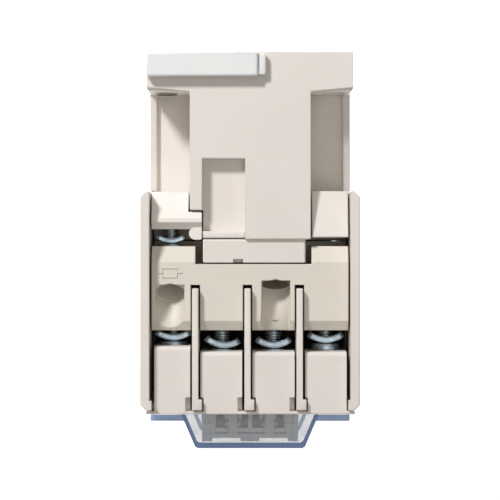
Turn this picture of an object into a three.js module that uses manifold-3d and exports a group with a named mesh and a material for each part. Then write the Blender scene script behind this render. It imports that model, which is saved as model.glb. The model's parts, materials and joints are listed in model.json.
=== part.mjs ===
// Four-pole DIN rail contactor, built piece by piece in millimetres.
// X runs across the 45 mm width, +Z towards the load end, +Y towards the rail.
// The rail seat is the plane Y = 0 and the user's side is the lowest Y.

import * as THREE from 'three';
import { mergeVertices } from 'three/addons/utils/BufferGeometryUtils.js';
import Module from 'manifold-3d';

const wasm = await Module();
wasm.setup();

// ---- Driving dimensions ----

const GAP = 0.3; // between neighbouring pieces
const CUT = 0.5; // how far a cutter reaches past the face it opens

// Levels along Y, from the rail side to the user's side
const BACK_Y = 3.2;
const EAR_Y = -5;
const WALL_BACK_Y = -25.6;
const BASE_Y = -35.5;
const PLATE_Y = -40.6;
const CELL_Y = -54.3;
const PANEL_Y = -58.65;
const DECK_Y = -71.5;
const RAISED_DECK_Y = -72.4;
const BRIM_Y = -74.1;
const FRONT_Y = -80;

// Levels along Z, measured from the middle towards either end
const END_Z = 38;
const BARRIER_END_Z = 37;
const PANEL_END_Z = 35.6;
const BASE_END_Z = 35.4;
const PLATE_END_Z = 35;
const WELL_Z = 23;
const RIB_Z = 24.4;
const CHAMBER_Z = 16;
const RAIL_HALF = 17.8;

// Levels along X
const WALL_OUT_X = 22.5;
const WALL_IN_X = 20.65;
const EAR_X = 21.3;
const BASE_X = 21.1;
const INNER_X = 20.3;

// Poles, and the barriers that stand between them
const POLE_X = [-16, -5.9, 4.9, 15.8];
const BARRIER_X = [-11.25, -0.5, 10.2];
const BARRIER_THICK = 1.3;
const PANEL_X = [[-19.7, -12.3], [-10.2, -1.6], [0.5, 9.2], [11.35, 19.9]];
const TERMINAL_Z = 26.5;

// Clamp screws and their saddle washers; a washer's seat is its lowest outer point
const SHANK_R = 1.75;
const HEAD_R = 2.9;
const HEAD_H = 2.2;
const DRIVER_R = 3.2;
const WASHER = { radius: 5.8, thick: 1.2, halfWidth: 3.9, halfDepth: 3.4 };
const LOAD_SEAT_Y = [-56.6, -58.2, -58.2, -57.1];
const LINE_SEAT_Y = [-58.2, -58.2, -58.2, -58.2];

// Coil terminals
const COIL_X = 16.5;
const COIL_Z = 27.5;
const COIL_SEAT_Y = -36.3;
const COIL_WASHER = { radius: 5.2, thick: 1.1, halfWidth: 3.4, halfDepth: 3.2 };

// Magnet and contacts
const TRAVEL = 5;
const CORE_HALF_Z = 6.5;
const POLE_FACE_Y = -21;
const AIR_GAP = TRAVEL + 0.1;
const CONTACT_Y = [-53.8, -52.6];
const TIP_FACE_Y = -54.8;
const BRIDGE_Y = [-60.4, -59.2];
const TIP_Z = 9;

// DIN rail clip, a T-shaped slide in the back of the base
const CLIP_X = [-13.8, -1.7];
const CLIP_WEB_X = [-12.5, -3];
const CLIP_SPRING_Z = [21.3, 29.2];

const ENDS = { load: 1, line: -1 };

// ---- Materials ----

function plastic(color, roughness = 0.55) {
  return new THREE.MeshStandardMaterial({ color, roughness, metalness: 0 });
}

function metal(color, roughness = 0.35) {
  return new THREE.MeshStandardMaterial({ color, roughness, metalness: 1 });
}

const CREAM = plastic('#e1ded9');
const IVORY = plastic('#d8d4c9');
const BRIGHT = plastic('#eeece7');
const NYLON = plastic('#e7e7e5', 0.4);
const DARK = plastic('#3b3a38');
const GREY = plastic('#959591');
const RUBBER = plastic('#26262a', 0.9);
const STEEL = metal('#8d9296');
const ZINC = metal('#c3ccd2', 0.3);
const COPPER = metal('#c27a4e');
const BRASS = metal('#c9a86a');
const SPRING = metal('#a9acb0');
const CLEAR = new THREE.MeshStandardMaterial({
  color: '#9db2d8', roughness: 0.08, metalness: 0, transparent: true, opacity: 0.35,
});

// ---- Solids ----

function solid(geometry) {
  const bare = geometry.clone();
  bare.deleteAttribute('normal');
  bare.deleteAttribute('uv');
  const merged = mergeVertices(bare, 1e-4);
  return new wasm.Manifold(new wasm.Mesh({
    numProp: 3,
    vertProperties: new Float32Array(merged.attributes.position.array),
    triVerts: new Uint32Array(merged.index.array),
  }));
}

function block([x0, x1], [y0, y1], [z0, z1]) {
  const box = new THREE.BoxGeometry(x1 - x0, y1 - y0, z1 - z0);
  box.translate((x0 + x1) / 2, (y0 + y1) / 2, (z0 + z1) / 2);
  return solid(box);
}

// A cylinder along Y
function rod(radius, [x, z], [y0, y1], sides = 20) {
  const cylinder = new THREE.CylinderGeometry(radius, radius, y1 - y0, sides);
  cylinder.translate(x, (y0 + y1) / 2, z);
  return solid(cylinder);
}

// A cylinder between two points
function pin(radius, from, to, sides = 20) {
  const start = new THREE.Vector3(...from);
  const along = new THREE.Vector3(...to).sub(start);
  const cylinder = new THREE.CylinderGeometry(radius, radius, along.length(), sides);
  const turn = new THREE.Quaternion();
  turn.setFromUnitVectors(new THREE.Vector3(0, 1, 0), along.clone().normalize());
  cylinder.applyQuaternion(turn);
  cylinder.translate(...start.addScaledVector(along, 0.5).toArray());
  return solid(cylinder);
}

function outline(points) {
  return new THREE.Shape(points.map(([a, b]) => new THREE.Vector2(a, b)));
}

// An outline of (x, y) points, extruded along Z
function prismZ(shape, [z0, z1], curveSegments = 6) {
  const depth = z1 - z0;
  const prism = new THREE.ExtrudeGeometry(shape, { depth, bevelEnabled: false, curveSegments });
  prism.translate(0, 0, z0);
  return solid(prism);
}

// An outline of (y, z) points, extruded along X
function prismX(points, [x0, x1]) {
  const shape = outline(points);
  const prism = new THREE.ExtrudeGeometry(shape, { depth: x1 - x0, bevelEnabled: false });
  const frame = new THREE.Matrix4().makeBasis(
    new THREE.Vector3(0, 1, 0), new THREE.Vector3(0, 0, 1), new THREE.Vector3(1, 0, 0),
  );
  prism.applyMatrix4(frame);
  prism.translate(x0, 0, 0);
  return solid(prism);
}

// The Z range that lies between two distances from the middle, at one end
function towards(end, near, far) {
  return end > 0 ? [near, far] : [-far, -near];
}

function around(centre, half) {
  return [centre - half, centre + half];
}

function join(pieces) {
  return pieces.reduce((whole, piece) => whole.add(piece));
}

const contactor = new THREE.Group();

function addPiece(name, shape, material) {
  const { vertProperties, triVerts } = shape.getMesh();
  const geometry = new THREE.BufferGeometry();
  geometry.setAttribute('position', new THREE.BufferAttribute(vertProperties, 3));
  geometry.setIndex(new THREE.BufferAttribute(triVerts, 1));
  geometry.computeVertexNormals();
  const mesh = new THREE.Mesh(geometry, material);
  mesh.name = name;
  contactor.add(mesh);
  return mesh;
}

// A compression spring along Z from 0 to its length, as a swept round wire
class HelixCurve extends THREE.Curve {
  constructor(radius, length, turns) {
    super();
    Object.assign(this, { radius, length, turns });
  }

  getPoint(t, target = new THREE.Vector3()) {
    const angle = 2 * Math.PI * this.turns * t;
    const height = this.length * t;
    return target.set(this.radius * Math.cos(angle), this.radius * Math.sin(angle), height);
  }
}

function springSolid(radius, wire, length, turns) {
  const section = new THREE.Shape().absarc(0, 0, wire / 2, 0, 2 * Math.PI);
  const path = new HelixCurve(radius, length - wire, turns);
  const steps = Math.round(turns * 9);
  const options = { steps, extrudePath: path, curveSegments: 2 };
  const wireGeometry = new THREE.ExtrudeGeometry(section, options);
  wireGeometry.translate(0, 0, wire / 2);
  return wireGeometry;
}

// A spring along Y, between two levels
function springY(radius, wire, [x, z], [y0, y1], turns) {
  const geometry = springSolid(radius, wire, y1 - y0, turns);
  geometry.rotateX(-Math.PI / 2);
  geometry.translate(x, y0, z);
  return solid(geometry);
}

// ---- Base, with the rail channel, the magnet well and the coil recesses ----

function coilSides(end) {
  return end > 0 ? [-1] : [-1, 1];
}

function makeBase() {
  const inEar = EAR_Y + 1;
  const well = block(around(0, INNER_X), [BASE_Y, inEar], around(0, WELL_Z));
  const wellSides = block(around(0, BASE_X), [WALL_BACK_Y + GAP, inEar], around(0, WELL_Z));
  const backPlate = block(around(0, EAR_X), [EAR_Y, BACK_Y], around(0, BASE_END_Z));
  const solids = [well, wellSides, backPlate];
  for (const end of Object.values(ENDS)) {
    const zs = towards(end, WELL_Z - 1, BASE_END_Z);
    solids.push(block([-12.4, 12.5], [BASE_Y, inEar], zs));
    solids.push(block([-11, 11.45], [PLATE_Y + GAP, BASE_Y + 1], towards(end, WELL_Z + 1, 34.6)));
    for (const side of [-1, 1]) {
      const rib = side > 0 ? [19.6, BASE_X] : [-BASE_X, -19.6];
      solids.push(block(rib, [WALL_BACK_Y + GAP, inEar], towards(end, WELL_Z - 1, RIB_Z)));
    }
  }
  // Blank panel beside the load end's single coil terminal
  solids.push(prismX([[-25.5, 22], [-25.5, 32.4], [-35.1, 34.7], [-35.1, 22]], [12.8, INNER_X]));
  let base = join(solids);

  const cuts = [
    block(around(0, 16.8), [BASE_Y - CUT, -2.3], around(0, 16)),
    block(around(0, 30), [0, BACK_Y + CUT], around(0, RAIL_HALF)),
    block(around(-2.45, 1), [PLATE_Y, PLATE_Y + 1], [33, 36]),
    block([-9.8, -1], [BASE_Y, -18.9], [32.2, BASE_END_Z + CUT]),
    block(CLIP_X.map((x, i) => x + GAP * (2 * i - 1)), [-GAP, 1.6], [RAIL_HALF - CUT, 36]),
    block(CLIP_WEB_X.map((x, i) => x + GAP * (2 * i - 1)), [-GAP, BACK_Y + CUT], [15.3, 36]),
    // Relief under the fixed hook, so that the seat plane is open all over
    block(around(0, 14.4), [-GAP, 1], [-RAIL_HALF, -15.2]),
  ];
  for (const end of Object.values(ENDS)) {
    for (const side of coilSides(end)) {
      const xs = side > 0 ? [9.7, 13] : [-13, -9.7];
      cuts.push(block(xs, [BASE_Y - CUT, -29.5], towards(end, WELL_Z, 36)));
      const corner = side > 0 ? [9.7, 12] : [-12, -9.7];
      cuts.push(block(corner, [PLATE_Y, BASE_Y + CUT], towards(end, WELL_Z, 36)));
    }
    for (const x of [-17.5, 17.5]) {
      for (const z of [25.5, 30]) {
        cuts.push(rod(2.2, [x, end * z], [EAR_Y - CUT, BACK_Y + CUT], 16));
      }
      const slot = towards(end, 25.5, 30);
      cuts.push(block(around(x, 2.2), [EAR_Y - CUT, BACK_Y + CUT], slot));
    }
  }
  cuts.push(block([-9.8, 9.8], [BASE_Y - CUT, -31.7], [-36, -29.7]));
  base = base.subtract(join(cuts));

  const ledge = block([-9.8, -0.9], [-35.2, -33.8], [31.9, 34.1]);
  const fixedHook = prismX(
    [[1.4, -18.5], [1.4, -16], [1.9, -15.6], [3.2, -15.6], [3.2, -18.5]], around(0, 14),
  );
  const springPost = block(around(-7.75, 1.2), [-0.5, 2.6], [29.5, 31]);
  return base.add(ledge).add(fixedHook).add(springPost);
}

addPiece('base', makeBase(), CREAM);

// ---- DIN rail clip and its spring ----

function makeDinClip() {
  const bar = block([-21.3, 1.6], [-2.1, 2.8], [BASE_END_Z + GAP, END_Z]);
  const tongue = block([1.5, 3.3], [-1.8, 2.6], [BASE_END_Z + GAP, 37.2]);
  const flange = block(CLIP_X, [GAP, 1.3], [18, 36]);
  const web = block(CLIP_WEB_X, [GAP, 2.9], [18, 36]);
  const lip = prismX(
    [[1.4, 18.5], [1.4, 16.2], [1.9, 15.8], [2.9, 15.8], [2.9, 18.5]], CLIP_WEB_X,
  );
  const window = block(around(-7.75, 1.6), [-CUT, BACK_Y + CUT], [21, 33]);
  return join([bar, tongue, flange, web, lip]).subtract(window);
}

function makeClipSpring() {
  const spring = springSolid(1, 0.4, CLIP_SPRING_Z[1] - CLIP_SPRING_Z[0], 7);
  spring.translate(-7.75, 1.5, CLIP_SPRING_Z[0]);
  return solid(spring);
}

addPiece('din_clip', makeDinClip(), NYLON);
addPiece('din_clip_spring', makeClipSpring(), SPRING);

// ---- Magnet ----

// An E outline: a yoke with three legs that end on the pole faces
function coreOutline(yokeBack, yokeFront, tip) {
  return outline([
    [-15, yokeBack], [15, yokeBack], [15, tip], [10.5, tip], [10.5, yokeFront],
    [4.5, yokeFront], [4.5, tip], [-4.5, tip], [-4.5, yokeFront], [-10.5, yokeFront],
    [-10.5, tip], [-15, tip],
  ]);
}

function makeFixedCore() {
  const core = prismZ(coreOutline(-3.5, -8.6, POLE_FACE_Y), around(0, CORE_HALF_Z));
  const slotY = [POLE_FACE_Y - CUT, POLE_FACE_Y + 2.6];
  const slots = [-12.9, 12.9].map((x) => block(around(x, 0.65), slotY, around(0, 7)));
  return core.subtract(join(slots));
}

function makeShadingRing(side) {
  const xs = side > 0 ? [12.55, 16] : [-16, -12.55];
  const hole = side > 0 ? [13.25, 15.3] : [-15.3, -13.25];
  const ys = [POLE_FACE_Y + 0.3, POLE_FACE_Y + 2.3];
  const ring = block(xs, ys, around(0, 7.5));
  return ring.subtract(block(hole, [ys[0] - CUT, ys[1] + CUT], around(0, 6.8)));
}

const YOKE_FRONT_Y = -39.5;
const PIN_Y = -37;

function makeArmature() {
  const tip = POLE_FACE_Y - AIR_GAP;
  const yoke = prismZ(coreOutline(YOKE_FRONT_Y, -34, tip), around(0, CORE_HALF_Z));
  return yoke.subtract(pin(1.8, [0, PIN_Y, -8], [0, PIN_Y, 8], 16));
}

function makeBobbin() {
  const tube = block(around(0, 6), [-26.4, -9], around(0, 8));
  const backFlange = block(around(0, 10), [-10.3, -9], around(0, 13.5));
  const frontFlange = block(around(0, 10), [-26.4, -25.1], around(0, 13.5));
  const bore = block(around(0, 4.9), [-27, -8], around(0, 6.9));
  return join([tube, backFlange, frontFlange]).subtract(bore);
}

function roundedRectangle(halfX, halfY, radius) {
  const shape = new THREE.Shape();
  shape.absarc(halfX - radius, halfY - radius, radius, 0, Math.PI / 2);
  shape.absarc(radius - halfX, halfY - radius, radius, Math.PI / 2, Math.PI);
  shape.absarc(radius - halfX, radius - halfY, radius, Math.PI, 1.5 * Math.PI);
  shape.absarc(halfX - radius, radius - halfY, radius, 1.5 * Math.PI, 2 * Math.PI);
  return shape;
}

function makeWinding() {
  const shape = roundedRectangle(9.6, 12.9, 3);
  shape.holes.push(roundedRectangle(6.3, 8.3, 0.4));
  const depth = 14.2;
  const ring = new THREE.ExtrudeGeometry(shape, { depth, bevelEnabled: false, curveSegments: 5 });
  ring.rotateX(Math.PI / 2);
  ring.translate(0, -10.6, 0);
  return solid(ring);
}

addPiece('fixed_core', makeFixedCore(), STEEL);
addPiece('shading_ring_left', makeShadingRing(-1), COPPER);
addPiece('shading_ring_right', makeShadingRing(1), COPPER);
addPiece('core_buffer', block(around(0, 11), [-3.2, -2.6], around(0, 6)), RUBBER);
addPiece('coil_bobbin', makeBobbin(), DARK);
addPiece('coil_winding', makeWinding(), COPPER);
addPiece('armature', makeArmature(), STEEL);
addPiece('armature_pin', pin(1.5, [0, PIN_Y, -9], [0, PIN_Y, 9], 12), ZINC);
addPiece('return_spring', springY(9.2, 0.8, [0, 0], [-33.7, -26.7], 3), SPRING);

// ---- Coil terminals ----

// One terminal's moulded block: a sloped back face, a ridge and a wire mouth under it
function coilBlock(side, end) {
  const outer = side > 0 ? [12.7, INNER_X] : [-INNER_X, -12.7];
  const wide = side > 0 ? [9.95, INNER_X] : [-INNER_X, -9.95];
  const tabX = side > 0 ? [9.95, 11.4] : [-11.4, -9.95];
  const foot = WELL_Z + GAP;
  const upper = [[-29.9, foot], [-25.6, foot], [-25.6, 32.6], [-29.9, 34.7]];
  const lower = [[-33.4, foot], [-29.8, foot], [-29.8, 34.65], [-31.2, 35.3],
    [-32, 35.3], [-33.4, 33.9]];
  const turned = (points) => points.map(([y, z]) => [y, end * z]);
  const solids = [prismX(turned(upper), outer), prismX(turned(lower), wide)];
  solids.push(block(tabX, [-35.6, -33], towards(end, 30, 34.4)));
  const tabRound = [side * 11.3, -34.3];
  const round = new THREE.Shape().absarc(...tabRound, 1.3, 0, 2 * Math.PI);
  solids.push(prismZ(round, towards(end, 30, 34.4), 8));
  const pocket = block(around(side * COIL_X, 3.5), [-34, -32.1], towards(end, 22, 32.6));
  const tipHole = rod(2.1, [side * COIL_X, end * COIL_Z], [-34, -28], 16);
  return join(solids).subtract(pocket).subtract(tipHole);
}

function makeLineBlock() {
  const strap = block([-10.2, 10.2], [-35.1, -32], [-34.7, -30]);
  return join([coilBlock(-1, -1), coilBlock(1, -1), strap]);
}

addPiece('coil_terminal_block_load', coilBlock(-1, 1), BRIGHT);
addPiece('coil_terminal_block_line', makeLineBlock(), BRIGHT);

// ---- Clamp screws and washers ----

function makeScrew([x, z], seatY, tipY, headR, shankR) {
  const top = seatY - 0.2;
  const head = rod(headR, [x, z], [top - HEAD_H, top], 18);
  const shank = rod(shankR, [x, z], [top - 0.4, tipY], 10);
  const recessY = [top - HEAD_H - CUT, top - HEAD_H + 1.1];
  const slotA = block(around(x, headR * 0.72), recessY, around(z, 0.45));
  const slotB = block(around(x, 0.45), recessY, around(z, headR * 0.72));
  return head.add(shank).subtract(slotA).subtract(slotB);
}

// A saddle washer, bowed towards the user in the XY plane
function makeWasher([x, z], seatY, size, shankR, tilt = 0) {
  const { radius, thick, halfWidth, halfDepth } = size;
  const spread = Math.asin(halfWidth / radius);
  const down = -Math.PI / 2;
  const shape = new THREE.Shape();
  shape.absarc(0, radius, radius, down - spread, down + spread, false);
  shape.absarc(0, radius, radius - thick, down + spread, down - spread, true);
  const bowed = prismZ(shape, around(0, halfDepth), 7);
  const washer = bowed.subtract(rod(shankR + 0.4, [0, 0], [-1, 4], 12));
  return washer.rotate([0, 0, tilt]).translate([x, seatY, z]);
}

function makeCoilPlate([x, z]) {
  const plate = block(around(x, 3.2), [-33.1, -32.3], around(z, 4.1));
  return plate.subtract(rod(1.9, [x, z], [-34, -32], 12));
}

for (const [endName, end] of Object.entries(ENDS)) {
  for (const side of coilSides(end)) {
    const at = [side * COIL_X, end * COIL_Z];
    const name = `${endName}_${side > 0 ? 'right' : 'left'}`;
    const screw = makeScrew(at, COIL_SEAT_Y, -29.2, 2.6, 1.5);
    addPiece(`coil_contact_plate_${name}`, makeCoilPlate(at), BRASS);
    addPiece(`coil_washer_${name}`, makeWasher(at, COIL_SEAT_Y, COIL_WASHER, 1.5), ZINC);
    addPiece(`coil_screw_${name}`, screw, ZINC);
  }
}

// ---- Power terminals ----

function makeFixedContact(x, end) {
  const plate = block(around(x, 3.3), CONTACT_Y, towards(end, 6.8, 31.2));
  const tip = rod(2, [x, end * TIP_Z], [TIP_FACE_Y, CONTACT_Y[0] + 0.2], 16);
  const tapped = rod(2.1, [x, end * TERMINAL_Z], [CONTACT_Y[0] - 1, CONTACT_Y[1] + 1], 16);
  return plate.add(tip).subtract(tapped);
}

for (const [endName, end] of Object.entries(ENDS)) {
  const seats = end > 0 ? LOAD_SEAT_Y : LINE_SEAT_Y;
  POLE_X.forEach((x, pole) => {
    const at = [x, end * TERMINAL_Z];
    const name = `${endName}_${pole + 1}`;
    const tilt = end > 0 && pole === 1 ? -6 : 0;
    const screw = makeScrew(at, seats[pole], seats[pole] + 8.6, HEAD_R, SHANK_R);
    addPiece(`fixed_contact_${name}`, makeFixedContact(x, end), BRASS);
    addPiece(`clamp_washer_${name}`, makeWasher(at, seats[pole], WASHER, SHANK_R, tilt), ZINC);
    addPiece(`terminal_screw_${name}`, screw, ZINC);
  });
}

// ---- Moving contacts ----

const POST_HALF_Z = 3.8;
const POST_HALF_X = 3.7;
const WINDOW_HALF_X = 2.75;
const WINDOW_Y = [-67, -58.9];
const CROSSBAR_Y = [-50.5, -43];

function makeCarrier() {
  const solids = [block([-19, 19], CROSSBAR_Y, around(0, POST_HALF_Z))];
  for (const x of POLE_X) {
    solids.push(block(around(x, POST_HALF_X - GAP), [-68.2, -50.3], around(0, POST_HALF_Z)));
  }
  for (const x of [-3.7, 4]) {
    solids.push(block(around(x, 0.9), [-76.5, -68], around(0, 2)));
  }
  for (const side of [-1, 1]) {
    const cheek = side > 0 ? [6.9, 8.7] : [-8.7, -6.9];
    solids.push(block(around(0, 5), [-43.6, -34.6], cheek));
    solids.push(block(around(0, 5), [-45.5, -43], side > 0 ? [3, 8.7] : [-8.7, -3]));
  }
  const windows = POLE_X.map((x) => block(around(x, WINDOW_HALF_X), WINDOW_Y, around(0, 6)));
  const pinHole = pin(1.8, [0, PIN_Y, -12], [0, PIN_Y, 12], 16);
  return join(solids).subtract(join(windows)).subtract(pinHole);
}

function makeBridge(x) {
  const bar = block(around(x, 2.3), BRIDGE_Y, around(0, 11));
  const pads = [-TIP_Z, TIP_Z].map((z) => rod(1.9, [x, z], [BRIDGE_Y[1] - 0.2, -58.4], 16));
  return join([bar, ...pads]);
}

addPiece('contact_carrier', makeCarrier(), GREY);
POLE_X.forEach((x, pole) => {
  const springY0 = WINDOW_Y[0] + 0.2;
  addPiece(`contact_bridge_${pole + 1}`, makeBridge(x), BRASS);
  const spring = springY(1.7, 0.5, [x, 0], [springY0, BRIDGE_Y[0] - 0.2], 4);
  addPiece(`contact_spring_${pole + 1}`, spring, SPRING);
});

// ---- Middle housing: the end plates, the driver troughs and the contact seats ----

// A driver trough: a bore that leans back from the end face to the coil screw
function trough(x, end, tilt, centreY) {
  const radius = 3;
  const centreZ = PLATE_END_Z - radius * Math.cos(tilt) + 0.1;
  const point = (s) => [x, centreY - s * Math.cos(tilt), end * (centreZ + s * Math.sin(tilt))];
  const bore = pin(radius - 0.2, point(0.5), point(-11), 20);
  const channel = pin(radius, point(0), point(14), 24);
  const open = prismX(
    [[0.06, -0.13], [13.9, -0.13], [13.9, 14], [0.06, 14]].map(([s, h]) => {
      const y = centreY - s * Math.cos(tilt) + h * Math.sin(tilt);
      return [y, end * (centreZ + s * Math.sin(tilt) + h * Math.cos(tilt))];
    }), around(x, radius * 0.99),
  );
  return join([bore, channel, open]);
}

function endPlate(end) {
  const far = PLATE_END_Z;
  const main = [[PLATE_Y, 18], [PLATE_Y, far], [-52.3, far], [CELL_Y, far - 1.2], [CELL_Y, 18]];
  const shoulder = [[-36.9, 18], [-36.9, 33.2], [-40.2, far], [-41, far], [-41, 18]];
  const turned = (points) => points.map(([y, z]) => [y, end * z]);
  return join([
    prismX(turned(main), around(0, INNER_X)),
    prismX(turned(shoulder), [-INNER_X, -11.3]),
    prismX(turned(shoulder), [12.7, INNER_X]),
  ]);
}

function makeMiddleHousing() {
  const middle = block(around(0, INNER_X), [CELL_Y, BASE_Y - GAP], around(0, WELL_Z));
  const notch = (end) => block([-11.3, 12.7], [PLATE_Y, -35], towards(end, WELL_Z + 0.5, 37));
  const housing = join([middle, endPlate(1), endPlate(-1)]);
  const cuts = [
    notch(1), notch(-1),
    block(around(0, 16.8), [-42, -35], around(0, 12)),
    block(around(0, 19.4), [-53, -35], around(0, 4.4)),
    block(around(0, 6), [-53, -35], around(0, 9.2)),
    trough(-COIL_X, 1, 0.64, -46.5),
    trough(5.3, 1, 0.34, -44.9),
    trough(-COIL_X, -1, 0.64, -46.5),
    trough(COIL_X, -1, 0.64, -46.5),
  ];
  for (const x of POLE_X) {
    cuts.push(block(around(x, POST_HALF_X), [-56, -44.5], around(0, 4.6)));
  }
  for (const end of Object.values(ENDS)) {
    for (const side of coilSides(end)) {
      const zs = towards(end, COIL_Z - 4, COIL_Z + 4);
      cuts.push(block(around(side * COIL_X, 3.75), [-40.6, -36], zs));
    }
    for (const x of BARRIER_X) {
      cuts.push(block(around(x, 0.95), [CELL_Y - CUT, -44.9], towards(end, 17.5, 38)));
    }
    for (const x of POLE_X) {
      const seat = towards(end, 4, 31.6);
      cuts.push(block(around(x, 3.6), [CELL_Y - CUT, -52.3], seat));
      cuts.push(rod(2.3, [x, end * TERMINAL_Z], [-57, -47], 16));
    }
  }
  return housing.subtract(join(cuts));
}

addPiece('middle_housing', makeMiddleHousing(), IVORY);

// ---- Front housing: side walls, barriers and arc chambers ----

function makeFrontHousing() {
  const round = 1.2;
  const solids = [];
  for (const side of [-1, 1]) {
    const wall = new THREE.Shape();
    wall.moveTo(side * WALL_IN_X, WALL_BACK_Y);
    wall.lineTo(side * (WALL_OUT_X - round), WALL_BACK_Y);
    wall.lineTo(side * WALL_OUT_X, WALL_BACK_Y - round);
    wall.lineTo(side * WALL_OUT_X, -69.4);
    wall.lineTo(side * (WALL_OUT_X - round), -70.6);
    wall.lineTo(side * WALL_IN_X, -70.6);
    solids.push(prismZ(wall, around(0, END_Z)));
    const rib = side > 0 ? [INNER_X - 1, WALL_IN_X + 0.5] : [-WALL_IN_X - 0.5, 1 - INNER_X];
    solids.push(block(rib, [-70.5, CELL_Y - GAP], around(0, CHAMBER_Z)));
    const foot = side > 0 ? [20.2, WALL_IN_X + 0.5] : [-WALL_IN_X - 0.5, -20.2];
    for (const end of Object.values(ENDS)) {
      solids.push(block(foot, [-70.6, -68.6], towards(end, 34, END_Z)));
    }
  }
  solids.push(block(around(0, INNER_X), [-70.5, CELL_Y - GAP], around(0, CHAMBER_Z)));
  for (const end of Object.values(ENDS)) {
    for (const x of BARRIER_X) {
      const zs = towards(end, CHAMBER_Z - 1, BARRIER_END_Z);
      solids.push(block(around(x, BARRIER_THICK / 2), [-70.6, CELL_Y - GAP], zs));
      const tail = towards(end, 17.8, BARRIER_END_Z);
      solids.push(block(around(x, BARRIER_THICK / 2), [CELL_Y - 1, -45.6], tail));
      const foot = [x - BARRIER_THICK / 2, x + 1.4];
      solids.push(block(foot, [-70.6, -68.4], towards(end, 34, BARRIER_END_Z)));
    }
  }
  const cuts = POLE_X.map((x) => block(around(x, 4.1), [-69.2, CELL_Y], around(0, 14.6)));
  for (const x of [-3.7, 4]) {
    cuts.push(block(around(x, 1.4), [-72, -68], around(0, 2.8)));
  }
  return join(solids).subtract(join(cuts));
}

addPiece('front_housing', makeFrontHousing(), CREAM);

// ---- Front cover: the deck, the terminal panels and the auxiliary guides ----

function makeFrontCover() {
  const solids = [
    block([-21.4, 21.6], [DECK_Y, -70.9], around(0, PANEL_END_Z)),
    block(around(0, 20), [RAISED_DECK_Y, DECK_Y + 0.1], around(0, 21)),
  ];
  for (const end of Object.values(ENDS)) {
    PANEL_X.forEach(([x0, x1], pole) => {
      const top = end > 0 && pole === 0 ? -57.5 : PANEL_Y;
      const zs = towards(end, CHAMBER_Z + GAP, PANEL_END_Z);
      solids.push(block([x0, x1], [DECK_Y, top], zs));
    });
  }
  // Guides for auxiliary blocks, under the dust cover
  for (const side of [-1, 1]) {
    const corner = side > 0 ? [7.6, 10.4] : [-10.4, -7.6];
    solids.push(block(corner, [-77.2, RAISED_DECK_Y + 0.1], around(0, 18)));
  }
  const beams = [[-18, -15.6], [15.6, 18]];
  for (const zs of beams) {
    solids.push(block(around(0, 9), [-76.8, -75.9], zs));
    solids.push(block(around(0, 0.45), [-76, RAISED_DECK_Y + 0.1], zs));
  }
  const cuts = [];
  for (const end of Object.values(ENDS)) {
    for (const x of POLE_X) {
      cuts.push(rod(DRIVER_R, [x, end * TERMINAL_Z], [DECK_Y - CUT, PANEL_Y + 3], 24));
    }
    for (const x of BARRIER_X) {
      const foot = [x - 2, x + 1.7];
      cuts.push(block(foot, [-70.9, -68.1], towards(end, 33.7, 38)));
    }
  }
  for (const x of [-3.7, 4]) {
    cuts.push(block(around(x, 1.4), [-73, -70], around(0, 2.8)));
  }
  return join(solids).subtract(join(cuts));
}

addPiece('front_cover', makeFrontCover(), CREAM);

// ---- Clear dust cover ----

function makeDustCover() {
  const brim = block(around(0, 21.2), [BRIM_Y, RAISED_DECK_Y - GAP], around(0, 21.5));
  const hat = (halfTop, halfBottom, top, bottom) => outline([
    [-halfTop, top], [-halfBottom, bottom], [halfBottom, bottom], [halfTop, top],
  ]);
  const outside = prismZ(hat(14.35, 11.6, BRIM_Y + 0.5, FRONT_Y), around(0, 20.2));
  const inside = prismZ(hat(13.4, 10.9, RAISED_DECK_Y + CUT, FRONT_Y + 1.2), around(0, 19.2));
  return brim.add(outside).subtract(inside);
}

addPiece('dust_cover', makeDustCover(), CLEAR);

export default contactor;
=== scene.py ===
"""Looks of a four-pole DIN rail contactor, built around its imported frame. Lengths are in metres."""

import json
import math

import bmesh
import bpy
from mathutils import Matrix, Vector


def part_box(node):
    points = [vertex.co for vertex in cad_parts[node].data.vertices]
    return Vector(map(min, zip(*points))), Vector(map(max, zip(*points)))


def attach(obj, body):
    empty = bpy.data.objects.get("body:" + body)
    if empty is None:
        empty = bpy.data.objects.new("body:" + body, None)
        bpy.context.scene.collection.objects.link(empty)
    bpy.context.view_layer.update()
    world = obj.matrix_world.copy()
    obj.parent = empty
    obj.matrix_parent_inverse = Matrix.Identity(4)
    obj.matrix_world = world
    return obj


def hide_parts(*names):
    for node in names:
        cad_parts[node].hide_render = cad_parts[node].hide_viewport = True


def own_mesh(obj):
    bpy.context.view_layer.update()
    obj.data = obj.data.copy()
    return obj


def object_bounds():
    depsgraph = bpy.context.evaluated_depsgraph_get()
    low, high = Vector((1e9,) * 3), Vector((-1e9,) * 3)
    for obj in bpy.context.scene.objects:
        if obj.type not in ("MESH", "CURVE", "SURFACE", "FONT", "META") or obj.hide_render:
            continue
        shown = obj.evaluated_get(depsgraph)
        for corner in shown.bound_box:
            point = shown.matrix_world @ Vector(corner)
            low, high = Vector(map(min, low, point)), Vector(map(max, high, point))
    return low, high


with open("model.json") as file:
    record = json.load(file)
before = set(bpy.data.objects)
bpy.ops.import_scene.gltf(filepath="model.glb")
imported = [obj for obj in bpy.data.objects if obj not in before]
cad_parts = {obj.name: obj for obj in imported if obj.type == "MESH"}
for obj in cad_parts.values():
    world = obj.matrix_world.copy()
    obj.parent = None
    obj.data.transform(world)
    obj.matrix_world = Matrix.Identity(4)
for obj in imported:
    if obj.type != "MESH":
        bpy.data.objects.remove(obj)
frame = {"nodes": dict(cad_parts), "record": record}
cad_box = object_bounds()
MM = 0.001
scene = bpy.context.scene


# ---- Camera, floor and light ----

CAMERA_GAP = 0.40  # from the near end of the housing to the lens
VIEW_WIDTH = 0.1022  # what the frame spans at the near end
SENSOR = 36.0

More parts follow.
